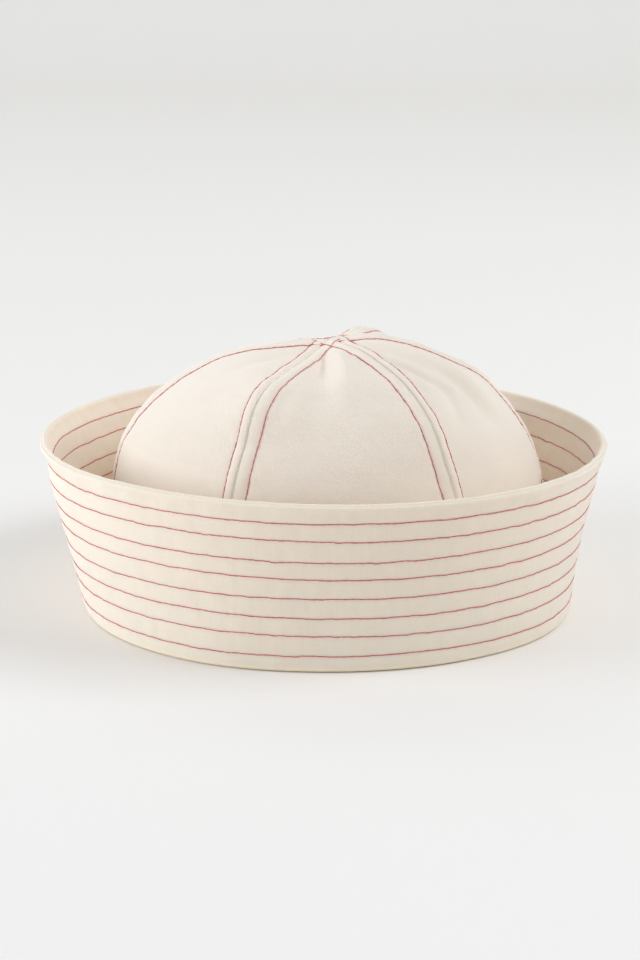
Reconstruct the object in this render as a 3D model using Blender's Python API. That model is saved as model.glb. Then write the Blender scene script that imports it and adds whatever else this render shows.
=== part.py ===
"""Sailor cap of cotton twill: a crown of six gores and an upturned two-ply brim.

Metres, +Z up. The cap stands on the fold of its brim, opening down, with its front towards -Y.
An azimuth is 0 at the front and grows towards +X.
"""
import math
from collections import namedtuple

import bmesh
import bpy

# Brim
FOLD_RADIUS = 0.098
BRIM_SLANT = 0.0685
BRIM_WALL = 0.0024
RIM_PLACE = 1 - BRIM_WALL / 2 / BRIM_SLANT
FOLD_ROUND = 0.0018

# Hem of the brim cloth, turned up inside the cap, that the crown is sewn to
LIP_HEIGHT = 0.012
LIP_WALL = 0.0018

# Crown
CROWN_HEIGHT = 0.1050
CROWN_WALL = 0.0016
GORES = 6
FIRST_SEAM = math.radians(-84.3)
EYE_RADIUS = 0.0008

# A gore lies nearly flat from seam to seam: the share of a flat panel that it reaches, and the share of
# the crown's height from which it does
GORE_FLATNESS = 0.22
FLAT_FROM = 0.35

CLEARANCE = 0.0003

# Facets of the solids; the brim's columns line up with those of the gores
GORE_COLUMNS = 10
GORE_ROWS = 18
BRIM_COLUMNS = GORES * GORE_COLUMNS
WALL_ROWS = 11
RIM_ROWS = 4
SHARP_EDGE = math.radians(40.0)

COTTON = (0.87, 0.84, 0.77)
BRIM_COTTON = (0.85, 0.81, 0.74)

# Brim round the cap: fold is a share of FOLD_RADIUS, lean the middle angle of the wall from upright,
# curl how much further it leans at the rim, both in degrees
BrimSection = namedtuple("BrimSection", "azimuth fold lean curl")
BRIM_SECTIONS = (
    BrimSection(-180, 0.985, 18.5, 15.0),
    BrimSection(-150, 0.968, 18.5, 10.0),
    BrimSection(-120, 0.950, 17.0, 3.5),
    BrimSection(-90, 0.979, 16.0, 0.8),
    BrimSection(-60, 1.023, 12.3, 1.5),
    BrimSection(-30, 1.018, 9.7, 4.5),
    BrimSection(0, 0.983, 10.8, 5.5),
    BrimSection(30, 0.988, 11.0, 5.2),
    BrimSection(60, 1.020, 9.6, 6.0),
    BrimSection(90, 1.010, 10.4, 7.5),
    BrimSection(120, 0.980, 12.4, 11.5),
    BrimSection(150, 0.978, 15.8, 14.5),
)

# Crown from the top of its hem to its middle: radius is a share of its hem's radius,
# height a share of the height above the hem
CrownSection = namedtuple("CrownSection", "radius height")
CROWN_SECTIONS = (
    CrownSection(1.000, 0.000),
    CrownSection(0.960, 0.173),
    CrownSection(0.918, 0.347),
    CrownSection(0.900, 0.444),
    CrownSection(0.871, 0.542),
    CrownSection(0.824, 0.634),
    CrownSection(0.761, 0.720),
    CrownSection(0.682, 0.802),
    CrownSection(0.588, 0.872),
    CrownSection(0.483, 0.932),
    CrownSection(0.367, 0.970),
    CrownSection(0.241, 0.991),
    CrownSection(0.126, 0.999),
    CrownSection(0.000, 1.000),
)

# Main dents and ridges of the crown: azimuth and width in degrees, climb and length as shares of the
# way from hem to middle, rise as a share of CROWN_HEIGHT, negative where the cloth sinks in
Fold = namedtuple("Fold", "azimuth width climb length rise")
CROWN_FOLDS = (
    Fold(-162, 62, 0.80, 0.25, -0.046),
    Fold(-116, 40, 0.68, 0.20, -0.014),
    Fold(-88, 36, 0.36, 0.18, 0.010),
    Fold(-85, 50, 0.84, 0.24, -0.010),
    Fold(-25, 24, 0.585, 0.135, 0.036),
    Fold(-25, 55, 0.84, 0.20, -0.030),
    Fold(-3, 14, 0.76, 0.18, -0.014),
    Fold(9, 16, 0.78, 0.20, 0.014),
    Fold(33, 26, 0.36, 0.22, -0.026),
    Fold(36, 22, 0.68, 0.20, -0.010),
    Fold(60, 14, 0.68, 0.26, -0.018),
    Fold(76, 12, 0.64, 0.24, 0.012),
    Fold(95, 45, 0.88, 0.16, 0.018),
    Fold(98, 26, 0.59, 0.10, 0.013),
    Fold(124, 26, 0.70, 0.16, -0.010),
    Fold(162, 22, 0.74, 0.15, 0.030),
)


def wrapped(degrees):
    """An azimuth difference brought between -180 and 180."""
    return (degrees + 180) % 360 - 180


def catmull(before, start, end, after, share):
    """Cubic through start and end, with the slopes that its outer neighbours give."""
    slope_in = (end - before) / 2
    slope_out = (after - start) / 2
    rise = end - start
    bend = 3 * rise - 2 * slope_in - slope_out
    twist = slope_in + slope_out - 2 * rise
    return start + share * (slope_in + share * (bend + share * twist))


def brim_value(column, azimuth):
    """A column of BRIM_SECTIONS, read smoothly round the cap."""
    rows = len(BRIM_SECTIONS)
    place = (math.degrees(azimuth) + 180) / 360 * rows
    first = math.floor(place)
    near = [getattr(BRIM_SECTIONS[(first + step) % rows], column) for step in (-1, 0, 1, 2)]
    return catmull(*near, place - first)


def fold_radius(azimuth):
    return FOLD_RADIUS * brim_value("fold", azimuth)


def wall_point(azimuth, share):
    """Outer side of the brim's wall, a share of the way up its slant: radius, height and slope."""
    lean = math.radians(brim_value("lean", azimuth))
    curl = math.radians(brim_value("curl", azimuth))
    sweep = curl * share
    chord = BRIM_SLANT * share * (math.sin(sweep) / sweep if sweep else 1)
    direction = lean - curl + sweep
    radius = fold_radius(azimuth) + chord * math.sin(direction)
    return radius, chord * math.cos(direction), direction + sweep


def brim_profile(azimuth):
    """Closed section of the brim: up its outer wall, over the rim, down to the slot, round the lip."""
    outer, inner = [], []
    first = FOLD_ROUND / BRIM_SLANT
    for row in range(WALL_ROWS + 1):
        share = first + (RIM_PLACE - first) * row / WALL_ROWS
        radius, height, slope = wall_point(azimuth, share)
        outer.append((radius, height))
        inner.append((radius - BRIM_WALL * math.cos(slope), height + BRIM_WALL * math.sin(slope)))
    rim = []
    middle = [(a + b) / 2 for a, b in zip(outer[-1], inner[-1])]
    for row in range(1, RIM_ROWS):
        turn = slope - math.pi * row / RIM_ROWS
        rim.append((middle[0] + BRIM_WALL / 2 * math.cos(turn), middle[1] - BRIM_WALL / 2 * math.sin(turn)))
    fold = fold_radius(azimuth)
    slot_outer = fold - BRIM_WALL
    lip_outer = slot_outer - CROWN_WALL - 2 * CLEARANCE
    lip_inner = lip_outer - LIP_WALL
    slot = [(slot_outer, BRIM_WALL), (lip_outer, BRIM_WALL)]
    lip = [(lip_outer, LIP_HEIGHT), (lip_inner, LIP_HEIGHT)]
    diagonal = FOLD_ROUND * (1 - math.sqrt(0.5))
    foot = [
        (lip_inner, FOLD_ROUND),
        (lip_inner + diagonal, diagonal),
        (lip_inner + FOLD_ROUND, 0.0),
        (fold - FOLD_ROUND, 0.0),
        (fold - diagonal, diagonal),
    ]
    return outer + rim + inner[:0:-1] + slot + lip + foot


def gore_inset(azimuth):
    """How far a gore lies inside the circle through its seams, as a share of that circle's radius."""
    half = math.pi / GORES
    away = (azimuth - FIRST_SEAM) % (2 * half) - half
    return GORE_FLATNESS * (1 - math.cos(half) / math.cos(away))


def crown_meridian(climb, azimuth):
    """Outer side of the crown, a share of the way from hem to middle: radius and height."""
    hem_radius = fold_radius(azimuth) - BRIM_WALL - CLEARANCE
    place = climb * (len(CROWN_SECTIONS) - 1)
    first = min(int(place), len(CROWN_SECTIONS) - 2)
    rows = [CROWN_SECTIONS[max(0, min(first + step, len(CROWN_SECTIONS) - 1))] for step in (-1, 0, 1, 2)]
    radius = catmull(*(row.radius for row in rows), place - first)
    height = catmull(*(row.height for row in rows), place - first)
    even_radius = FOLD_RADIUS - BRIM_WALL - CLEARANCE
    plan = hem_radius + (even_radius - hem_radius) * height
    plan *= 1 - gore_inset(azimuth) * min(1.0, height / FLAT_FROM)
    return plan * radius, LIP_HEIGHT + (CROWN_HEIGHT - LIP_HEIGHT) * height


def crown_rise(climb, azimuth):
    """How far the dents and ridges lift the crown's cloth off its even shape."""
    rise = 0.0
    for fold in CROWN_FOLDS:
        across = wrapped(math.degrees(azimuth) - fold.azimuth) / fold.width
        along = (climb - fold.climb) / fold.length
        rise += fold.rise * max(0.0, 1 - across ** 2) ** 2 * max(0.0, 1 - along ** 2) ** 2
    return CROWN_HEIGHT * rise


def crown_point(climb, azimuth, depth):
    """A point of the crown's cloth, depth below its outer side: radius and height."""
    step = 0.1 / len(CROWN_SECTIONS)
    radius, height = crown_meridian(climb, azimuth)
    low = crown_meridian(max(0.0, climb - step), azimuth)
    high = crown_meridian(min(1.0, climb + step), azimuth)
    slope = math.atan2(low[0] - high[0], high[1] - low[1])
    lift = crown_rise(climb, azimuth) - depth
    return radius + lift * math.cos(slope), height + lift * math.sin(slope)


def gore_point(first_seam, across, up, depth):
    """A point of one gore: across is 0 and 1 at its seams, up is 0 at its hem and 1 at the crown's eye."""
    pitch = 2 * math.pi / GORES
    nominal = first_seam + pitch * across
    hem_bottom = BRIM_WALL + CLEARANCE
    if up <= 1 / GORE_ROWS:
        radius = fold_radius(nominal) - BRIM_WALL - CLEARANCE - depth
        height = hem_bottom + (LIP_HEIGHT - hem_bottom) * up * GORE_ROWS
    else:
        climb = (up * GORE_ROWS - 1) / (GORE_ROWS - 1)
        radius, height = crown_point(climb, nominal, depth)
        radius = max(radius, EYE_RADIUS)
    edge = math.asin(CLEARANCE / 2 / radius)
    azimuth = first_seam + edge + (pitch - 2 * edge) * across
    return radius * math.sin(azimuth), -radius * math.cos(azimuth), height


def cotton(name, colour):
    material = bpy.data.materials.new(name)
    material.use_nodes = True
    shader = material.node_tree.nodes["Principled BSDF"]
    shader.inputs["Base Color"].default_value = (*colour, 1.0)
    shader.inputs["Roughness"].default_value = 0.9
    shader.inputs["Metallic"].default_value = 0.0
    return material


def add_piece(name, shape, material, parent):
    """Turns a finished bmesh into a named object with smooth round faces."""
    bmesh.ops.recalc_face_normals(shape, faces=shape.faces)
    mesh = bpy.data.meshes.new(name)
    shape.to_mesh(mesh)
    shape.free()
    mesh.materials.append(material)
    mesh.shade_smooth()
    mesh.set_sharp_from_angle(angle=SHARP_EDGE)
    piece = bpy.data.objects.new(name, mesh)
    piece.parent = parent
    bpy.context.scene.collection.objects.link(piece)
    return piece


def add_brim(parent):
    """A grid wrapped round the cap and round the brim's section, then closed on itself both ways."""
    stations = len(brim_profile(0.0))
    shape = bmesh.new()
    bmesh.ops.create_grid(shape, x_segments=BRIM_COLUMNS, y_segments=stations, size=0.5)
    profiles = {}
    for vert in shape.verts:
        column = round((vert.co.x + 0.5) * BRIM_COLUMNS) % BRIM_COLUMNS
        station = round((vert.co.y + 0.5) * stations) % stations
        azimuth = FIRST_SEAM + 2 * math.pi * column / BRIM_COLUMNS
        if column not in profiles:
            profiles[column] = brim_profile(azimuth)
        radius, height = profiles[column][station]
        vert.co = (radius * math.sin(azimuth), -radius * math.cos(azimuth), height)
    bmesh.ops.remove_doubles(shape, verts=shape.verts, dist=1e-6)
    return add_piece("brim", shape, cotton("brim_cotton", BRIM_COTTON), parent)


def add_gore(number, parent):
    """A grid laid on the gore's outer side and extruded to its inner side."""
    first_seam = FIRST_SEAM + 2 * math.pi / GORES * number
    shape = bmesh.new()
    bmesh.ops.create_grid(shape, x_segments=GORE_COLUMNS, y_segments=GORE_ROWS, size=0.5)
    outer = list(shape.verts)
    extruded = bmesh.ops.extrude_face_region(shape, geom=shape.faces[:])
    inner = [item for item in extruded["geom"] if isinstance(item, bmesh.types.BMVert)]
    for verts, depth in ((outer, 0.0), (inner, CROWN_WALL)):
        for vert in verts:
            vert.co = gore_point(first_seam, vert.co.x + 0.5, vert.co.y + 0.5, depth)
    name = f"crown_gore_{number + 1}"
    return add_piece(name, shape, cotton(f"{name}_cotton", COTTON), parent)


def outline_middle():
    """Middle of the brim's outline as seen from above."""
    rim = []
    for column in range(BRIM_COLUMNS):
        azimuth = FIRST_SEAM + 2 * math.pi * column / BRIM_COLUMNS
        reach = max(radius for radius, height in brim_profile(azimuth))
        rim.append((reach * math.sin(azimuth), -reach * math.cos(azimuth)))
    return [(min(side) + max(side)) / 2 for side in zip(*rim)]


def build():
    for item in list(bpy.data.objects):
        bpy.data.objects.remove(item, do_unlink=True)
    cap = bpy.data.objects.new("cap", None)
    bpy.context.scene.collection.objects.link(cap)
    middle = outline_middle()
    cap.location = (-middle[0], -middle[1], 0.0)
    add_brim(cap)
    for number in range(GORES):
        add_gore(number, cap)
    bpy.context.view_layer.update()


build()
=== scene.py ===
"""Sailor cap of undyed cotton twill, sewn with red thread: its cloth, stitches and finishes.

Metres, +Z up, the front of the cap towards -Y. An azimuth is 0 at the front and grows towards +X.
"""
import math
import random
from collections import namedtuple

import bmesh
import bpy
from mathutils import Matrix, Vector, noise


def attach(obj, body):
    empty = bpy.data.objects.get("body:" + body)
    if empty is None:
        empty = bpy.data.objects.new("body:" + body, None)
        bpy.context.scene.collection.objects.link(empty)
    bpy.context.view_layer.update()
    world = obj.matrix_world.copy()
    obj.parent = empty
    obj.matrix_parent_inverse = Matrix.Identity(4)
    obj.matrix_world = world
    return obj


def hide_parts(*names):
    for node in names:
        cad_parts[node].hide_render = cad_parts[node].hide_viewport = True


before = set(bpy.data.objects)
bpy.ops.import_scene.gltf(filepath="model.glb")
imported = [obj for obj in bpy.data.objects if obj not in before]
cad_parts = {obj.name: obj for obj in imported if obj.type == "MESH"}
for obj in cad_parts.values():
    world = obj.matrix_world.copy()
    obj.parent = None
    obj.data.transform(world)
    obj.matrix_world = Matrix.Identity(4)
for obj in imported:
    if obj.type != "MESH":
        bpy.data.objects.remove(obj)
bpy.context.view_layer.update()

# The cap's sizes, as its solids have them: RIM_PLACE is where the wall ends and the round of its rim
# begins, as a share of the slant
FOLD_RADIUS = 0.098
BRIM_SLANT = 0.0685
BRIM_WALL = 0.0024
RIM_PLACE = 1 - BRIM_WALL / 2 / BRIM_SLANT
FOLD_ROUND = 0.0018
LIP_HEIGHT = 0.012
LIP_WALL = 0.0018
CROWN_HEIGHT = 0.1050
CROWN_WALL = 0.0016
GORES = 6
FIRST_SEAM = math.radians(-84.3)
EYE_RADIUS = 0.0004
GORE_FLATNESS = 0.22
FLAT_FROM = 0.35
CLEARANCE = 0.0003

# Rows of topstitching up the brim, as shares of its slant: sewn by eye, so not quite even. They drift
# slowly, wander and jitter by these shares.
ROWS = (0.096, 0.214, 0.325, 0.437, 0.555, 0.661, 0.783, 0.893)
ROW_DRIFT = 0.007
ROW_WANDER = 0.0045
ROW_JITTER = 0.0030

# Seams of the crown, each of which runs on over the middle to the seam opposite: the seam allowances
# puff the cloth up between two lines of topstitching, and the seam itself is a groove beside their middle
TOPSTITCH_OFFSET = 0.0046
PUFF_RISE = 0.00055
GROOVE_HALF_WIDTH = 0.00036
GROOVE_DEPTH = 0.00055
GROOVE_SHIFTS = (0.0, -0.0007, 0.0007)
GROOVE_FROM_MIDDLE = 0.012
SEAM_WANDER = 0.00022

# Thread
THREAD_RADIUS = 0.00019
STITCH_LENGTH = 0.0029
STITCH_DIP = 0.00022
STITCH_DIP_HALF_WIDTH = 0.0006
STITCH_LIFT = STITCH_DIP * 0.1

# How unevenly the stitches lie: sideways in metres, turned and leaned in radians, thicker and thinner
STITCH_SPREAD = 0.00007
STITCH_TURN = 0.05
STITCH_LEAN = 0.08
STITCH_FATNESS = (0.92, 1.08)

# Relief of the brim's cloth: slow waves, and puckers and creases that the rows hold down to a share.
# The cloth stands full between the rows and is even at the fold.
BRIM_WAVE = 0.0008
BRIM_PUCKER = 0.00036
BRIM_CREASE = 0.00032
BRIM_FULLNESS = 0.00016
HELD_SHARE = 0.35
BRIM_EVEN_TO = 0.06

# Relief of the crown's cloth: puckers beside the seams, and two sizes of soft unevenness, each with
# its grains to the metre. It fades out at the hem and at the middle.
CROWN_PUCKER = 0.00035
PUCKER_HALF_WIDTH = 0.006
PUCKER_GRAINS = 170
CROWN_SOFT = 0.00060
SOFT_GRAINS = 34
CROWN_FINE = 0.00022
FINE_GRAINS = 90
RELIEF_FULL_CLIMB = 0.12
RELIEF_FULL_RADIUS = 0.02

# Seam that joins the brim's two plies, turned in along its rim: place and width as angles round the rim
RIM_SEAM = math.radians(66)
RIM_SEAM_HALF_WIDTH = math.radians(15)
RIM_SEAM_DEPTH = 0.00045

# Swelling of the turned edges beside that seam, and the hollow under it where the rim curls out:
# azimuth and width in degrees, depth in metres
RIM_ROLL = 0.00030
RIM_ROLL_HALF_WIDTH = 0.0016
RimCurl = namedtuple("RimCurl", "azimuth width depth")
RIM_CURLS = (
    RimCurl(-88, 46, 0.0012),
    RimCurl(128, 66, 0.0020),
    RimCurl(-150, 40, 0.0008),
)
RIM_CURL_PLACE = 0.895
RIM_CURL_HALF_WIDTH = 0.060

# Flat length of a gore before it is sewn, from hem to middle along the crown
GORE_SLANT = 0.150

# How far light wanders in the cloth of the crown and of the brim, in red, green and blue
CROWN_GLOW = (0.0010, 0.0009, 0.0008)
BRIM_GLOW = (0.0026, 0.0018, 0.0012)

# Way over the brim's cloth, up its outside and down its inside, to where its colour starts to turn
# to painted warm shade, the colour of light bounced inside the fold, and to where it is all that shade
INSIDE_FROM = 0.080
INSIDE_FULL = 0.120

# Facets of the cloth: a gore's columns crowd towards its seams, and its lowest rows are its hem
BRIM_COLUMNS = 420
RIM_STATIONS = 18
CORNER_STATIONS = 4
GORE_COLUMNS = 84
GORE_ROWS = 128
HEM_ROWS = 3
SEAM_CROWDING = 0.74

# Brim round the cap: fold is a share of FOLD_RADIUS, lean the middle angle of the wall from upright,
# curl how much further it leans at the rim, both in degrees
BrimSection = namedtuple("BrimSection", "azimuth fold lean curl")
BRIM_SECTIONS = (
    BrimSection(-180, 0.985, 18.5, 15.0),
    BrimSection(-150, 0.968, 18.5, 10.0),
    BrimSection(-120, 0.950, 17.0, 3.5),
    BrimSection(-90, 0.979, 16.0, 0.8),
    BrimSection(-60, 1.023, 12.3, 1.5),
    BrimSection(-30, 1.018, 9.7, 4.5),
    BrimSection(0, 0.983, 10.8, 5.5),
    BrimSection(30, 0.988, 11.0, 5.2),
    BrimSection(60, 1.020, 9.6, 6.0),
    BrimSection(90, 1.010, 10.4, 7.5),
    BrimSection(120, 0.980, 12.4, 11.5),
    BrimSection(150, 0.978, 15.8, 14.5),
)

# Crown from the top of its hem to its middle: radius is a share of its hem's radius,
# height a share of the height above the hem
CrownSection = namedtuple("CrownSection", "radius height")
CROWN_SECTIONS = (
    CrownSection(1.000, 0.000),
    CrownSection(0.960, 0.173),
    CrownSection(0.918, 0.347),
    CrownSection(0.900, 0.444),
    CrownSection(0.871, 0.542),
    CrownSection(0.824, 0.634),
    CrownSection(0.761, 0.720),
    CrownSection(0.682, 0.802),
    CrownSection(0.588, 0.872),
    CrownSection(0.483, 0.932),
    CrownSection(0.367, 0.970),
    CrownSection(0.241, 0.991),
    CrownSection(0.126, 0.999),
    CrownSection(0.000, 1.000),
)

# Main dents and ridges of the crown: azimuth and width in degrees, climb and length as shares of the
# way from hem to middle, rise as a share of CROWN_HEIGHT, negative where the cloth sinks in
Fold = namedtuple("Fold", "azimuth width climb length rise")
CROWN_FOLDS = (
    Fold(-162, 62, 0.80, 0.25, -0.046),
    Fold(-116, 40, 0.68, 0.20, -0.014),
    Fold(-88, 36, 0.36, 0.18, 0.010),
    Fold(-85, 50, 0.84, 0.24, -0.010),
    Fold(-25, 24, 0.585, 0.135, 0.036),
    Fold(-25, 55, 0.84, 0.20, -0.030),
    Fold(-3, 14, 0.76, 0.18, -0.014),
    Fold(9, 16, 0.78, 0.20, 0.014),
    Fold(33, 26, 0.36, 0.22, -0.026),
    Fold(36, 22, 0.68, 0.20, -0.010),
    Fold(60, 14, 0.68, 0.26, -0.018),
    Fold(76, 12, 0.64, 0.24, 0.012),
    Fold(95, 45, 0.88, 0.16, 0.018),
    Fold(98, 26, 0.59, 0.10, 0.013),
    Fold(124, 26, 0.70, 0.16, -0.010),
    Fold(162, 22, 0.74, 0.15, 0.030),
)

# Fine creases: from an azimuth and climb down to others, width in degrees, depth negative for a ridge.
# Each starts before its run and ends after it, and is full in between.
Crease = namedtuple("Crease", "azimuth climb end_azimuth end_climb width depth")
CREASES = (
    Crease(46, 0.80, 58, 0.62, 3.4, 0.0016),
    Crease(58, 0.64, 49, 0.50, 3.4, 0.0009),
    Crease(54, 0.80, 64, 0.58, 3.6, -0.0010),
    Crease(71, 0.72, 65, 0.47, 3.4, 0.0012),
    Crease(78, 0.70, 73, 0.45, 3.6, -0.0006),
    Crease(-6, 0.88, -1, 0.62, 4.0, 0.0011),
    Crease(9, 0.86, 6, 0.60, 4.5, -0.0006),
    Crease(-15, 0.66, -17, 0.50, 3.0, 0.0006),
    Crease(-48, 0.84, -58, 0.62, 5.0, 0.0005),
    Crease(126, 0.84, 118, 0.55, 4.0, 0.0006),
    Crease(-176, 0.86, -170, 0.58, 4.0, 0.0006),
    Crease(-112, 0.82, -120, 0.54, 4.0, 0.0005),
)
CREASE_START = -0.2
CREASE_FULL = (0.3, 0.6)
CREASE_END = 1.2


def wrapped(degrees):
    """An azimuth difference brought between -180 and 180."""
    return (degrees + 180) % 360 - 180


def bell(distance, half_width):
    """1 in the middle of a crease, fading to nothing outside it."""
    return math.exp(-((distance / half_width) ** 2))


def smooth_step(low, high, value):
    """0 at low, 1 at high, level beyond them and soft between them. Low may be the greater."""
    share = min(1.0, max(0.0, (value - low) / (high - low)))
    return share * share * (3 - 2 * share)


def catmull(before, start, end, after, share):
    """Cubic through start and end, with the slopes that its outer neighbours give."""
    slope_in = (end - before) / 2
    slope_out = (after - start) / 2
    rise = end - start
    bend = 3 * rise - 2 * slope_in - slope_out
    twist = slope_in + slope_out - 2 * rise
    return start + share * (slope_in + share * (bend + share * twist))


def round_the_cap(azimuth, radius, height):
    """A point in the frame, from its place round the cap's own axis."""
    return Vector((radius * math.sin(azimuth) - MIDDLE[0], -radius * math.cos(azimuth) - MIDDLE[1], height))


def ring_noise(azimuth, waves, across, seed):
    """Soft noise that meets itself round the cap, with about that many waves to the turn."""
    reach = waves / math.tau
    return noise.noise(Vector((math.sin(azimuth) * reach + seed, math.cos(azimuth) * reach, across)))


def brim_value(column, azimuth):
    """A column of BRIM_SECTIONS, read smoothly round the cap."""
    rows = len(BRIM_SECTIONS)
    place = (math.degrees(azimuth) + 180) / 360 * rows
    first = math.floor(place)
    near = [getattr(BRIM_SECTIONS[(first + step) % rows], column) for step in (-1, 0, 1, 2)]
    return catmull(*near, place - first)


def fold_radius(azimuth):
    return FOLD_RADIUS * brim_value("fold", azimuth)


def wall_point(azimuth, share):
    """Even outer side of the brim's wall, a share of the way up its slant: radius, height, slope."""
    lean = math.radians(brim_value("lean", azimuth))
    curl = math.radians(brim_value("curl", azimuth))
    sweep = curl * share
    chord = BRIM_SLANT * share * (math.sin(sweep) / sweep if sweep else 1)
    direction = lean - curl + sweep
    radius = fold_radius(azimuth) + chord * math.sin(direction)
    return radius, chord * math.cos(direction), direction + sweep


def outline_middle():
    """Middle of the brim's outline as seen from above, in the cap's own plan."""
    columns = 60
    rim = []
    for column in range(columns):
        azimuth = FIRST_SEAM + math.tau * column / columns
        radius, height, slope = wall_point(azimuth, RIM_PLACE)
        rim.append((radius * math.sin(azimuth), -radius * math.cos(azimuth)))
    return [(min(side) + max(side)) / 2 for side in zip(*rim)]


MIDDLE = outline_middle()


def wall_share(azimuth, share):
    """A place on the wall with the slow drift that the rows of stitching have round the cap."""
    free = smooth_step(0.0, ROWS[0], share) * smooth_step(0.0, 1 - ROWS[-1], 1 - share)
    drift = ROW_DRIFT * ring_noise(azimuth, waves=7, across=share * 10, seed=3.0)
    return share + free * drift


def row_gaps(share):
    """Distances from a place on the wall to the rows below and above it, or to the fold and the rim."""
    marks = (0.0, *ROWS, 1.0)
    above = next((number for number, mark in enumerate(marks) if mark >= share), len(marks) - 1)
    above = max(1, above)
    return (share - marks[above - 1]) * BRIM_SLANT, (marks[above] - share) * BRIM_SLANT


def rim_curl(azimuth):
    """Depth of the hollow under the rim at a place round the cap."""
    depth = 0.0
    for curl in RIM_CURLS:
        away = wrapped(math.degrees(azimuth) - curl.azimuth) / curl.width
        depth += curl.depth * max(0.0, 1 - away ** 2) ** 2
    return depth


def wall_wave(azimuth, share):
    """How far the brim's cloth stands off its even shape: slow waves, and puckers between the rows."""
    below, above = row_gaps(share)
    between = 4 * max(0.0, below) * max(0.0, above) / (below + above) ** 2
    slow = BRIM_WAVE * ring_noise(azimuth, waves=9, across=share * 1.5, seed=11.0) * share
    pucker = BRIM_PUCKER * ring_noise(azimuth, waves=90, across=share * 9, seed=27.0)
    crease = BRIM_CREASE * ring_noise(azimuth, waves=240, across=share * 14, seed=31.0)
    free = HELD_SHARE + (1 - HELD_SHARE) * between
    upper = smooth_step(0.0, BRIM_EVEN_TO, share)
    hollow = rim_curl(azimuth) * bell(share - RIM_CURL_PLACE, RIM_CURL_HALF_WIDTH)
    return upper * (slow + free * (pucker + crease) + BRIM_FULLNESS * between) - hollow


def row_dip(share):
    """How far the rows of stitching pull the cloth in."""
    nearest = min(abs(share - row) for row in ROWS)
    return STITCH_DIP * bell(nearest * BRIM_SLANT, STITCH_DIP_HALF_WIDTH)


def wall_surface(azimuth, share, side, lift=0.0):
    """A point of the brim's wall: side is 1 on its outer face and 0 on its inner face. Radius, height."""
    radius, height, slope = wall_point(azimuth, wall_share(azimuth, share))
    wave = wall_wave(azimuth, share)
    roll = RIM_ROLL * bell((RIM_PLACE - share) * BRIM_SLANT, RIM_ROLL_HALF_WIDTH)
    dip = row_dip(share) - lift - roll
    out = wave - dip if side else wave - BRIM_WALL + dip
    return radius + out * math.cos(slope), height - out * math.sin(slope)


def wall_shares():
    """Stations up the wall, closest beside the rows of stitching."""
    beside_row = (0.0, 0.06, 0.13, 0.28, 0.5, 0.72, 0.87, 0.94)
    lowest = FOLD_ROUND / BRIM_SLANT
    marks = (lowest, *ROWS, RIM_PLACE)
    shares = []
    for low, high in zip(marks, marks[1:]):
        shares += [low + (high - low) * part for part in beside_row]
    return shares + [RIM_PLACE]


def corner(middle, radius, start, end):
    """Round corner of a section: points on an arc, from one angle to the other."""
    steps = [step / CORNER_STATIONS for step in range(CORNER_STATIONS + 1)]
    angles = [start + (end - start) * step for step in steps]
    return [(middle[0] + radius * math.cos(a), middle[1] + radius * math.sin(a)) for a in angles]


def brim_section(azimuth, shares):
    """Closed section of the brim: up its outer face, over the rim, down its inner face, round the hem."""
    outer = [wall_surface(azimuth, share, 1) for share in shares]
    inner = [wall_surface(azimuth, share, 0) for share in shares]
    slope = wall_point(azimuth, RIM_PLACE)[2]
    half = math.dist(outer[-1], inner[-1]) / 2
    middle = [(a + b) / 2 for a, b in zip(outer[-1], inner[-1])]
    rim = []
    for step in range(1, RIM_STATIONS):
        turn = math.pi * step / RIM_STATIONS
        reach = half - RIM_SEAM_DEPTH * bell(turn - RIM_SEAM, RIM_SEAM_HALF_WIDTH)
        rim.append((middle[0] + reach * math.cos(slope - turn), middle[1] - reach * math.sin(slope - turn)))
    fold = fold_radius(azimuth)
    slot_outer = fold - BRIM_WALL
    lip_outer = slot_outer - CROWN_WALL - 2 * CLEARANCE
    lip_inner = lip_outer - LIP_WALL
    slot = [(slot_outer, BRIM_WALL), (lip_outer, BRIM_WALL)]
    lip_round = LIP_WALL / 2
    lip = corner((lip_outer - lip_round, LIP_HEIGHT - lip_round), lip_round, 0.0, math.pi)
    inner_foot = corner((lip_inner + FOLD_ROUND, FOLD_ROUND), FOLD_ROUND, math.pi, 1.5 * math.pi)
    outer_foot = corner((fold - FOLD_ROUND, FOLD_ROUND), FOLD_ROUND, 1.5 * math.pi, 2 * math.pi)
    return outer + rim + inner[:0:-1] + slot + lip + inner_foot + outer_foot[:-1]


def gore_inset(azimuth):
    """How far a gore lies inside the circle through its seams, as a share of that circle's radius."""
    half = math.pi / GORES
    away = (azimuth - FIRST_SEAM) % (2 * half) - half
    return GORE_FLATNESS * (1 - math.cos(half) / math.cos(away))


def crown_meridian(climb, azimuth):
    """Even outer side of the crown, a share of the way from hem to middle: radius and height."""
    hem_radius = fold_radius(azimuth) - BRIM_WALL - CLEARANCE
    place = climb * (len(CROWN_SECTIONS) - 1)
    first = min(int(place), len(CROWN_SECTIONS) - 2)
    rows = [CROWN_SECTIONS[max(0, min(first + step, len(CROWN_SECTIONS) - 1))] for step in (-1, 0, 1, 2)]
    radius = catmull(*(row.radius for row in rows), place - first)
    height = catmull(*(row.height for row in rows), place - first)
    even_radius = FOLD_RADIUS - BRIM_WALL - CLEARANCE
    plan = hem_radius + (even_radius - hem_radius) * height
    plan *= 1 - gore_inset(azimuth) * min(1.0, height / FLAT_FROM)
    return plan * radius, LIP_HEIGHT + (CROWN_HEIGHT - LIP_HEIGHT) * height


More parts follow.
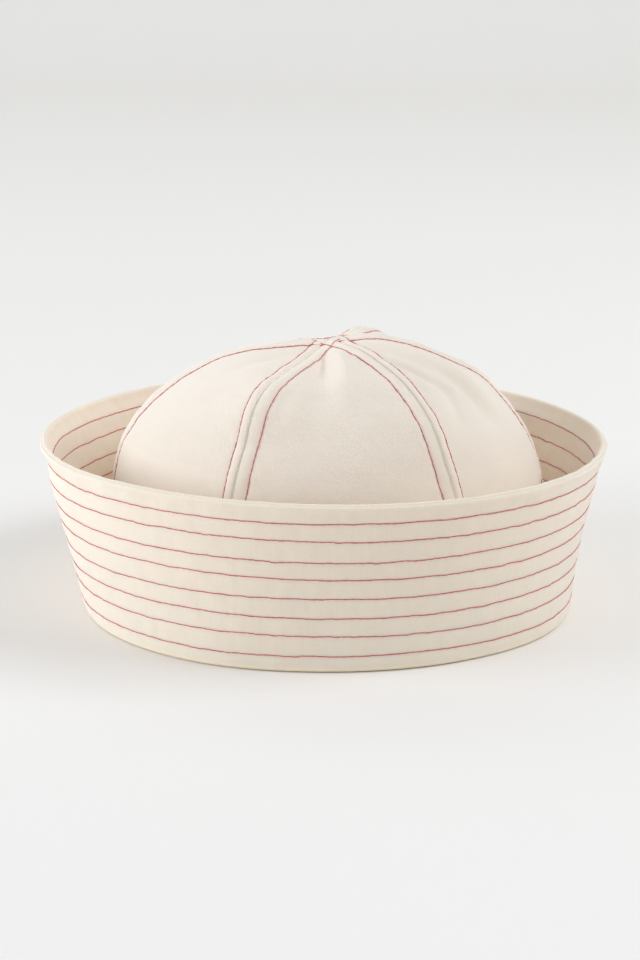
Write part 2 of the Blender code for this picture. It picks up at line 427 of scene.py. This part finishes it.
def crown_rise(climb, azimuth):
    """How far the main dents and ridges lift the crown's cloth off its even shape."""
    rise = 0.0
    for fold in CROWN_FOLDS:
        across = wrapped(math.degrees(azimuth) - fold.azimuth) / fold.width
        along = (climb - fold.climb) / fold.length
        rise += fold.rise * max(0.0, 1 - across ** 2) ** 2 * max(0.0, 1 - along ** 2) ** 2
    return CROWN_HEIGHT * rise


def seam_relief(radius, azimuth):
    """Relief of the sewn seams, and the distance to the nearest of their lines of topstitching."""
    rise = 0.0
    nearest = radius
    for pair, shift in enumerate(GROOVE_SHIFTS):
        away = radius * math.sin(azimuth - FIRST_SEAM - math.tau / GORES * pair)
        side = TOPSTITCH_OFFSET - shift if away > shift else TOPSTITCH_OFFSET + shift
        inward = abs(away - shift) / side
        if inward < 1:
            rise = max(rise, PUFF_RISE * (1 - (2 * inward - 1) ** 2))
        groove = GROOVE_DEPTH * bell(away - shift, GROOVE_HALF_WIDTH)
        rise -= groove * smooth_step(0.0, GROOVE_FROM_MIDDLE, radius)
        stitched = abs(abs(away) - TOPSTITCH_OFFSET)
        rise -= STITCH_DIP * bell(stitched, STITCH_DIP_HALF_WIDTH)
        nearest = min(nearest, stitched)
    return rise, nearest


def crown_creases(climb, azimuth):
    """Depth of the fine creases that run down the crown."""
    depth = 0.0
    for crease in CREASES:
        run = (crease.climb - climb) / (crease.climb - crease.end_climb)
        if CREASE_START < run < CREASE_END:
            middle = crease.azimuth + (crease.end_azimuth - crease.azimuth) * run
            away = wrapped(math.degrees(azimuth) - middle) / crease.width
            start = smooth_step(CREASE_START, CREASE_FULL[0], run)
            end = smooth_step(CREASE_END, CREASE_FULL[1], run)
            depth += crease.depth * (start * end) * bell(away, 1.0)
    return depth


def crown_relief(climb, azimuth, radius):
    """The crown's sewn relief, fine creases and soft puckers, on top of its main dents."""
    sewn, stitched = seam_relief(radius, azimuth)
    place = round_the_cap(azimuth, radius, climb * GORE_SLANT)
    apart = Vector((5.0, 0.0, 0.0))
    pucker = CROWN_PUCKER * bell(stitched, PUCKER_HALF_WIDTH) * noise.noise(place * PUCKER_GRAINS + apart)
    soft = CROWN_SOFT * noise.noise(place * SOFT_GRAINS) + CROWN_FINE * noise.noise(place * FINE_GRAINS)
    soft *= smooth_step(0.0, RELIEF_FULL_RADIUS, radius)
    upper = smooth_step(0.0, RELIEF_FULL_CLIMB, climb)
    return upper * (sewn + pucker - crown_creases(climb, azimuth) + soft)


def crown_surface(climb, azimuth, depth=0.0, relief=1.0):
    """A point of the crown's cloth, depth below its outer face: radius and height."""
    step = 0.1 / len(CROWN_SECTIONS)
    radius, height = crown_meridian(climb, azimuth)
    low = crown_meridian(max(0.0, climb - step), azimuth)
    high = crown_meridian(min(1.0, climb + step), azimuth)
    slope = math.atan2(low[0] - high[0], high[1] - low[1])
    lift = crown_rise(climb, azimuth) + relief * crown_relief(climb, azimuth, radius) - depth
    return radius + lift * math.cos(slope), height + lift * math.sin(slope)


def gore_share(across):
    """Columns of a gore, closest beside its two seams."""
    return across - SEAM_CROWDING * math.sin(math.tau * across) / math.tau


def gore_point(first_seam, across, up, depth):
    """A point of one gore: across is 0 and 1 at its seams, up is 0 at its hem and 1 at the middle."""
    hem_top = HEM_ROWS / GORE_ROWS
    azimuth = first_seam + math.tau / GORES * gore_share(across)
    hem_bottom = BRIM_WALL + CLEARANCE
    if up <= hem_top:
        radius = fold_radius(azimuth) - BRIM_WALL - CLEARANCE - depth
        height = hem_bottom + (LIP_HEIGHT - hem_bottom) * up / hem_top
    else:
        radius, height = crown_surface((up - hem_top) / (1 - hem_top), azimuth, depth)
        radius = max(radius, EYE_RADIUS)
    return round_the_cap(azimuth, radius, height)


def finish_piece(name, shape, material):
    """A finished bmesh as a named piece that rides with the cap."""
    mesh = bpy.data.meshes.new(name)
    shape.to_mesh(mesh)
    shape.free()
    mesh.materials.append(material)
    mesh.shade_smooth()
    piece = bpy.data.objects.new(name, mesh)
    bpy.context.scene.collection.objects.link(piece)
    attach(piece, "root")
    return piece


def make_brim(material):
    """A grid wrapped round the cap and round the brim's section, then closed on itself both ways."""
    shares = wall_shares()
    sections = []
    for column in range(BRIM_COLUMNS):
        azimuth = math.tau * column / BRIM_COLUMNS
        sections.append(brim_section(azimuth, shares))
    stations = len(sections[0])
    lengths = [0.0]
    for station in range(stations):
        lengths.append(lengths[-1] + math.dist(sections[0][station], sections[0][(station + 1) % stations]))
    shape = bmesh.new()
    cloth = shape.loops.layers.uv.new("cloth")
    bmesh.ops.create_grid(shape, x_segments=BRIM_COLUMNS, y_segments=stations, size=0.5)
    for face in shape.faces:
        for loop in face.loops:
            column = round((loop.vert.co.x + 0.5) * BRIM_COLUMNS)
            station = round((loop.vert.co.y + 0.5) * stations)
            loop[cloth].uv = (math.tau * FOLD_RADIUS * column / BRIM_COLUMNS, lengths[station])
    for vert in shape.verts:
        column = round((vert.co.x + 0.5) * BRIM_COLUMNS) % BRIM_COLUMNS
        station = round((vert.co.y + 0.5) * stations) % stations
        vert.co = round_the_cap(math.tau * column / BRIM_COLUMNS, *sections[column][station])
    bmesh.ops.remove_doubles(shape, verts=shape.verts, dist=1e-6)
    bmesh.ops.recalc_face_normals(shape, faces=shape.faces)
    brim = finish_piece("brim_cloth", shape, material)
    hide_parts("brim")
    return brim


def make_gore(number, material):
    """A grid laid on the gore's outer face and extruded to its inner face."""
    first_seam = FIRST_SEAM + math.tau / GORES * number
    shape = bmesh.new()
    cloth = shape.loops.layers.uv.new("cloth")
    bmesh.ops.create_grid(shape, x_segments=GORE_COLUMNS, y_segments=GORE_ROWS, size=0.5)
    outer = list(shape.verts)
    extruded = bmesh.ops.extrude_face_region(shape, geom=shape.faces[:])
    inner = [item for item in extruded["geom"] if isinstance(item, bmesh.types.BMVert)]
    for face in shape.faces:
        for loop in face.loops:
            up = loop.vert.co.y + 0.5
            radius = crown_meridian(up, first_seam)[0]
            across = (gore_share(loop.vert.co.x + 0.5) - 0.5) * radius * math.tau / GORES
            loop[cloth].uv = (across, (up - 1) * GORE_SLANT)
    for verts, depth in ((outer, 0.0), (inner, CROWN_WALL)):
        for vert in verts:
            vert.co = gore_point(first_seam, vert.co.x + 0.5, vert.co.y + 0.5, depth)
    bmesh.ops.recalc_face_normals(shape, faces=shape.faces)
    gore = finish_piece(f"crown_cloth_{number + 1}", shape, material)
    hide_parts(f"crown_gore_{number + 1}")
    return gore


def stitch_template():
    """One stitch of thread along +X: a low arch whose ends go down into the cloth."""
    Station = namedtuple("Station", "along height radius")
    stations = (
        Station(-0.50, -0.10, 0.70),
        Station(-0.42, 0.55, 0.95),
        Station(-0.22, 0.90, 1.00),
        Station(0.22, 0.90, 1.00),
        Station(0.42, 0.55, 0.95),
        Station(0.50, -0.10, 0.70),
    )
    shape = bmesh.new()
    upright = Matrix.Rotation(math.pi / 2, 4, "Y")
    start = stations[0]
    ends = bmesh.ops.create_circle(shape, cap_ends=True, segments=6, radius=THREAD_RADIUS * start.radius)
    ring = ends["verts"]
    bmesh.ops.rotate(shape, verts=ring, cent=(0, 0, 0), matrix=upright.to_3x3())
    first_place = (start.along * STITCH_LENGTH, 0, start.height * THREAD_RADIUS)
    bmesh.ops.translate(shape, verts=ring, vec=first_place)
    face = shape.faces[:][0]
    for before, station in zip(stations, stations[1:]):
        extruded = bmesh.ops.extrude_discrete_faces(shape, faces=[face])
        face = extruded["faces"][0]
        middle = Vector((before.along * STITCH_LENGTH, 0, before.height * THREAD_RADIUS))
        move = Vector((station.along * STITCH_LENGTH, 0, station.height * THREAD_RADIUS)) - middle
        size = station.radius / before.radius
        bmesh.ops.scale(shape, verts=face.verts[:], vec=(1, size, size), space=Matrix.Translation(-middle))
        bmesh.ops.translate(shape, verts=face.verts[:], vec=move)
    bmesh.ops.recalc_face_normals(shape, faces=shape.faces)
    mesh = bpy.data.meshes.new("stitch_template")
    shape.to_mesh(mesh)
    shape.free()
    return mesh


def stitch_places(path, spare):
    """Places of the stitches along a path of (point, normal): origin, direction, normal, length share."""
    points = [point for point, normal in path]
    run = [0.0]
    for start, end in zip(points, points[1:]):
        run.append(run[-1] + (end - start).length)
    count = round(run[-1] / STITCH_LENGTH)
    step = run[-1] / count
    reach = 0
    marks = []
    for number in range(count + 1):
        target = min(number * step, run[-1])
        while reach < len(run) - 2 and run[reach + 1] < target:
            reach += 1
        share = (target - run[reach]) / (run[reach + 1] - run[reach])
        point = points[reach].lerp(points[reach + 1], share)
        normal = path[reach][1].lerp(path[reach + 1][1], share).normalized()
        marks.append((point, normal))
    places = []
    for (start, normal), (end, after) in zip(marks, marks[1:]):
        along = end - start
        tilt = normal.cross(along).normalized() * spare.gauss(0.0, STITCH_SPREAD)
        upright = (normal + after).normalized()
        places.append(((start + end) / 2 + tilt, along, upright, along.length / STITCH_LENGTH))
    return places


def sew(name, paths, material, spare):
    """Joins a stitch for every place along the paths into one piece."""
    template = stitch_template()
    shape = bmesh.new()
    for path in paths:
        for middle, along, normal, stretch in stitch_places(path, spare):
            forward = along.normalized()
            side = normal.cross(forward).normalized()
            up = forward.cross(side)
            fat = spare.uniform(*STITCH_FATNESS)
            turned = side * math.cos(STITCH_LEAN) + forward * math.sin(spare.gauss(0.0, STITCH_TURN))
            place = Matrix((forward * stretch, turned * fat, up * fat)).transposed().to_4x4()
            place.translation = middle
            template.transform(place)
            shape.from_mesh(template)
            template.transform(place.inverted())
    bpy.data.meshes.remove(template)
    finish_piece(name, shape, material)


def brim_row(row, side):
    """Path of one row of stitching round the brim, on its outer or its inner face."""
    steps = 720
    share = ROWS[row]
    path = []
    for step in range(steps + 1):
        azimuth = math.tau * step / steps
        wobble = ROW_WANDER * ring_noise(azimuth, waves=70, across=row * 3.1, seed=41.0)
        wobble += ROW_JITTER * ring_noise(azimuth, waves=190, across=row * 3.1, seed=47.0)
        slope = wall_point(azimuth, share)[2]
        point = round_the_cap(azimuth, *wall_surface(azimuth, share + wobble, side, STITCH_LIFT))
        out = round_the_cap(azimuth, math.cos(slope), -math.sin(slope)) - round_the_cap(azimuth, 0.0, 0.0)
        path.append((point, out if side else -out))
    return path


def crown_line(seam, offset, inside):
    """Path of one line of topstitching, from hem to hem over the middle of the crown."""
    steps = 150
    last_climb = 0.999
    nearest = 1.02
    halves = []
    for half in range(2):
        points = []
        for step in range(steps + 1):
            climb = step / steps * last_climb
            radius = crown_meridian(climb, seam)[0]
            wobble = SEAM_WANDER * noise.noise(Vector((climb * 22, seam + half * 9, offset * 900)))
            away = offset + wobble
            if radius <= abs(away) * nearest:
                break
            side = away if half == 0 else -away
            azimuth = seam + half * math.pi + math.asin(side / radius)
            points.append(crown_mark(climb, azimuth, inside))
        halves.append(points)
    return halves[0] + halves[1][::-1]


def crown_mark(climb, azimuth, inside):
    """A point on the crown's outer or inner face with the direction that faces away from the cloth."""
    depth = CROWN_WALL if inside else 0.0
    near = 0.01
    aside = 0.02
    point = round_the_cap(azimuth, *crown_surface(climb, azimuth, depth))
    lower = round_the_cap(azimuth, *crown_surface(max(0.0, climb - near), azimuth, depth, 0.0))
    upper = round_the_cap(azimuth, *crown_surface(min(1.0, climb + near), azimuth, depth, 0.0))
    left = round_the_cap(azimuth - aside, *crown_surface(climb, azimuth - aside, depth, 0.0))
    right = round_the_cap(azimuth + aside, *crown_surface(climb, azimuth + aside, depth, 0.0))
    normal = (right - left).cross(upper - lower).normalized()
    return point, -normal if inside else normal


class Value:
    """A number in a material. Arithmetic on it adds Math nodes to the material."""

    def __init__(self, look, socket):
        self.look = look
        self.socket = socket

    def out(self, name):
        """Another output of the node that this value comes from."""
        return Value(self.look, self.socket.node.outputs[name])

    def math(self, operation, *values):
        return self.look.node("ShaderNodeMath", {"operation": operation}, dict(enumerate(values)))

    def __add__(self, other):
        return self.math("ADD", self, other)

    def __radd__(self, other):
        return self.math("ADD", other, self)

    def __sub__(self, other):
        return self.math("SUBTRACT", self, other)

    def __rsub__(self, other):
        return self.math("SUBTRACT", other, self)

    def __mul__(self, other):
        return self.math("MULTIPLY", self, other)

    def __rmul__(self, other):
        return self.math("MULTIPLY", other, self)

    def wave(self, length):
        """Sine of this value, one wave to each length, from 0 to 1."""
        return self.math("SINE", self * (math.tau / length)) * 0.5 + 0.5


class Look:
    """A material on one Principled shader, and the nodes that feed it."""

    def __init__(self, name):
        self.material = bpy.data.materials.new(name)
        self.material.use_nodes = True
        self.nodes = self.material.node_tree.nodes
        self.links = self.material.node_tree.links
        self.shader = self.nodes["Principled BSDF"]

    def node(self, kind, settings, sockets):
        """Adds a node with its settings and the values or links of its sockets; gives its first output."""
        node = self.nodes.new(kind)
        for name, setting in settings.items():
            setattr(node, name, setting)
        for key, value in sockets.items():
            self.feed(node.inputs[key], value)
        return Value(self, node.outputs[0])

    def feed(self, socket, value):
        if isinstance(value, Value):
            self.links.new(value.socket, socket)
        elif isinstance(value, tuple) and len(value) == 3 and socket.type == "RGBA":
            socket.default_value = (*value, 1.0)
        else:
            socket.default_value = value

    def surface(self, **inputs):
        for name, value in inputs.items():
            self.feed(self.shader.inputs[name.replace("_", " ")], value)

    def tint(self, share, low, high):
        """A colour between two, by a share."""
        settings = {"data_type": "RGBA", "clamp_factor": True}
        return self.node("ShaderNodeMix", settings, {0: share, 6: low, 7: high}).out(2)

    def grain(self, place, scale, detail=2.0):
        """Soft noise between 0 and 1."""
        settings = {"noise_dimensions": "3D"}
        return self.node("ShaderNodeTexNoise", settings, {"Vector": place, "Scale": scale, "Detail": detail})


def twill(name, pale, shaded, painted_shade_colour, rib_lean, rib_share, streaks, streak_share, glow):
    """Undyed cotton twill: diagonal ribs over crossed threads, faint streaks and a soft nap.

    The streaks have so many grains to the metre across and along the cloth. Far along the cloth,
    which is the inside of the brim towards its hem, the colour turns to painted warm shade, the colour of
    light bounced inside the fold.
    """
    rib_length = 0.00095
    thread_length = 0.00060
    rib_wander = 0.0007
    look = Look(name)
    uv = look.node("ShaderNodeUVMap", {"uv_map": "cloth"}, {})
    parts = look.node("ShaderNodeSeparateXYZ", {}, {0: uv})
    across, along = parts, parts.out(1)
    place = look.node("ShaderNodeTexCoord", {}, {}).out("Object")
    wander = (look.grain(place, scale=160.0) - 0.5) * rib_wander
    rib = (across * math.cos(rib_lean) + along * math.sin(rib_lean) + wander).wave(rib_length)
    warp = (across + wander).wave(thread_length)
    weft = (along + wander).wave(thread_length)
    nap = look.grain(place, scale=2600.0, detail=3.0)
    stretch = look.node("ShaderNodeCombineXYZ", {}, {0: across * streaks[0], 1: along * streaks[1]})
    slub = look.grain(stretch, scale=1.0, detail=1.0)
    mottle = look.grain(place, scale=28.0, detail=3.0)
    height = rib * rib_share * 2.0 + warp * weft * 0.30 + nap * 0.35 + slub * streak_share
    shade = rib * rib_share + nap * 0.22 + slub * 0.30 + mottle * 0.45 - 0.10
    # Painted warm shade: on the inside of the brim towards its hem the colour turns to the painted shade
    # colour
    inside = look.node("ShaderNodeMapRange", {}, {0: along, 1: INSIDE_FROM, 2: INSIDE_FULL})
    colour = look.tint(inside, look.tint(shade, shaded, pale), painted_shade_colour)
    bump = look.node("ShaderNodeBump", {}, {"Strength": 0.55, "Distance": 0.00016, "Height": height})
    look.surface(Base_Color=colour, Roughness=0.93 - nap * 0.08, Normal=bump)
    look.surface(Sheen_Weight=0.18, Sheen_Roughness=0.45, Specular_IOR_Level=0.25)
    look.surface(Subsurface_Weight=0.5, Subsurface_Radius=glow, Subsurface_Scale=1.0)
    return look.material


def thread(name, bright, painted_shade_colour):
    """Red sewing thread, a little deeper between its strands as painted shade where its bump is low, with a
    random tone of its own.
    """
    look = Look(name)
    place = look.node("ShaderNodeTexCoord", {}, {}).out("Object")
    strand = look.grain(place, scale=3200.0)
    batch = look.grain(place, scale=180.0)
    # Painted shade: the colour deepens where the strand bump is low; the batch grain is the thread's own
    # random tone
    colour = look.tint(strand * 0.6 + batch * 0.7 - 0.15, painted_shade_colour, bright)
    bump = look.node("ShaderNodeBump", {}, {"Strength": 0.5, "Distance": 0.00008, "Height": strand})
    look.surface(Base_Color=colour, Roughness=0.62 - strand * 0.1, Normal=bump)
    look.surface(Sheen_Weight=0.35, Sheen_Roughness=0.4, Specular_IOR_Level=0.4)
    return look.material


def plain(name, colour, roughness):
    """Matt paper of the studio floor, with a trace of tone."""
    look = Look(name)
    place = look.node("ShaderNodeTexCoord", {}, {}).out("Object")
    tone = look.grain(place, scale=1.5)
    low = tuple(channel * 0.985 for channel in colour)
    look.surface(Base_Color=look.tint(tone, low, colour), Roughness=roughness, Specular_IOR_Level=0.2)
    return look.material


def make_studio():
    """A pale floor that sweeps up into a pale wall behind the cap."""
    half_width = 4.0
    front = -3.0
    wall_distance = 1.9
    sweep_radius = 0.9
    wall_height = 4.0
    floor_level = -0.0002
    shape = bmesh.new()
    low = shape.verts.new((-half_width, front, floor_level))
    high = shape.verts.new((half_width, front, floor_level))
    edge = shape.edges.new((low, high))
    flat = bmesh.ops.extrude_edge_only(shape, edges=[edge])
    verts = [item for item in flat["geom"] if isinstance(item, bmesh.types.BMVert)]
    bmesh.ops.translate(shape, verts=verts, vec=(0, wall_distance - front, 0))
    edges = [item for item in flat["geom"] if isinstance(item, bmesh.types.BMEdge)]
    far = [item for item in edges if all(vert in verts for vert in item.verts)]
    turn = bmesh.ops.spin(
        shape,
        geom=far + verts,
        cent=(0, wall_distance, floor_level + sweep_radius),
        axis=(1, 0, 0),
        angle=math.pi / 2,
        steps=24,
    )
    top = [item for item in turn["geom_last"] if isinstance(item, bmesh.types.BMEdge)]
    wall = bmesh.ops.extrude_edge_only(shape, edges=top)
    verts = [item for item in wall["geom"] if isinstance(item, bmesh.types.BMVert)]
    bmesh.ops.translate(shape, verts=verts, vec=(0, 0, wall_height))
    bmesh.ops.recalc_face_normals(shape, faces=shape.faces)
    mesh = bpy.data.meshes.new("studio_floor")
    shape.to_mesh(mesh)
    shape.free()
    mesh.materials.append(plain("studio_paper", (0.90, 0.885, 0.855), 0.9))
    mesh.shade_smooth()
    floor = bpy.data.objects.new("studio_floor", mesh)
    bpy.context.scene.collection.objects.link(floor)


def add_softbox(name, place, target, size, power, colour):
    light = bpy.data.lights.new(name, "AREA")
    light.shape = "RECTANGLE"
    light.size = size[0]
    light.size_y = size[1]
    light.energy = power
    light.color = colour
    lamp = bpy.data.objects.new(name, light)
    lamp.location = place
    lamp.rotation_euler = (Vector(target) - Vector(place)).to_track_quat("-Z", "Y").to_euler()
    bpy.context.scene.collection.objects.link(lamp)


def light_studio():
    """Soft light from both sides, a little from the front and from behind, and a pale surround."""
    middle = (0.0, 0.0, 0.05)
    add_softbox("left_light", (-2.0, -0.45, 0.6), middle, (1.4, 1.0), 28.0, (0.89, 0.93, 1.0))
    add_softbox("back_light", (-1.9, 1.6, 1.5), middle, (1.8, 1.8), 8.0, (0.98, 0.97, 0.96))
    add_softbox("right_light", (1.6, -0.2, 1.6), middle, (1.4, 1.2), 23.5, (0.94, 0.96, 1.0))
    add_softbox("front_light", (0.0, -2.4, 0.7), middle, (2.4, 1.0), 2.5, (0.93, 0.955, 1.0))
    add_softbox("far_light", (0.9, 1.7, 2.0), (0.9, 1.8, 0.0), (3.0, 1.5), 7.0, (1.0, 0.99, 0.96))
    world = bpy.data.worlds.new("studio_air")
    world.use_nodes = True
    air = world.node_tree.nodes["Background"]
    air.inputs["Color"].default_value = (0.955, 0.975, 1.0, 1.0)
    air.inputs["Strength"].default_value = 0.48
    bpy.context.scene.world = world


def place_camera():
    """The photograph's view: a little above the brim, with a trace of roll."""
    distance = 0.95
    elevation = math.radians(15.75)
    roll = math.radians(-0.83)
    target = Vector((-MIDDLE[0], -MIDDLE[1], 0.040))
    pixels_per_metre = 2479.0
    frame_size = (640, 960)
    target_pixel = (326.7, 497.9)
    view = Vector((0.0, math.cos(elevation), -math.sin(elevation)))
    right = Vector((1.0, 0.0, 0.0))
    up = right.cross(view)
    rolled_right = right * math.cos(roll) - up * math.sin(roll)
    rolled_up = right * math.sin(roll) + up * math.cos(roll)
    data = bpy.data.cameras.new("photo_camera")
    data.sensor_fit = "AUTO"
    data.sensor_width = 36.0
    data.lens = pixels_per_metre * distance / frame_size[1] * data.sensor_width
    data.shift_x = (frame_size[0] / 2 - target_pixel[0]) / frame_size[1]
    data.shift_y = (target_pixel[1] - frame_size[1] / 2) / frame_size[1]
    data.clip_start = 0.01
    camera = bpy.data.objects.new("photo_camera", data)
    turn = Matrix((rolled_right, rolled_up, -view)).transposed().to_4x4()
    camera.matrix_world = Matrix.Translation(target - view * distance) @ turn
    bpy.context.scene.collection.objects.link(camera)
    bpy.context.scene.camera = camera


def make_cap():
    # Painted warm shade for the inside of the brim towards its hem, standing in for the light bounced inside
    # the fold
    painted_shade_colour = (0.95, 0.815, 0.625)
    crown_look = twill(
        "crown_twill_look",
        pale=(0.92, 0.835, 0.735),
        shaded=(0.83, 0.735, 0.620),
        painted_shade_colour=painted_shade_colour,
        rib_lean=math.radians(30),
        rib_share=0.26,
        streaks=(40, 900),
        streak_share=0.25,
        glow=CROWN_GLOW,
    )
    brim_look = twill(
        "brim_twill_look",
        pale=(0.90, 0.825, 0.715),
        shaded=(0.81, 0.720, 0.595),
        painted_shade_colour=painted_shade_colour,
        rib_lean=math.radians(38),
        rib_share=0.05,
        streaks=(620, 60),
        streak_share=0.9,
        glow=BRIM_GLOW,
    )
    thread_look = thread("red_thread_look", bright=(0.77, 0.165, 0.175), painted_shade_colour=(0.46, 0.075, 0.082))
    brim = make_brim(brim_look)
    for number in range(GORES):
        gore = make_gore(number, crown_look)
    spare = random.Random(7)
    rows = range(len(ROWS))
    sew("brim_topstitch_outer", [brim_row(row, 1) for row in rows], thread_look, spare)
    sew("brim_topstitch_inner", [brim_row(row, 0) for row in rows], thread_look, spare)
    for name, inside in (("crown_topstitch_outer", False), ("crown_topstitch_inner", True)):
        paths = []
        for pair in range(GORES // 2):
            seam = FIRST_SEAM + math.tau / GORES * pair
            for offset in (-TOPSTITCH_OFFSET, TOPSTITCH_OFFSET):
                paths.append(crown_line(seam, offset, inside))
        sew(name, paths, thread_look, spare)


place_camera()
light_studio()
make_studio()
make_cap()
bpy.context.scene.view_settings.view_transform = "Standard"
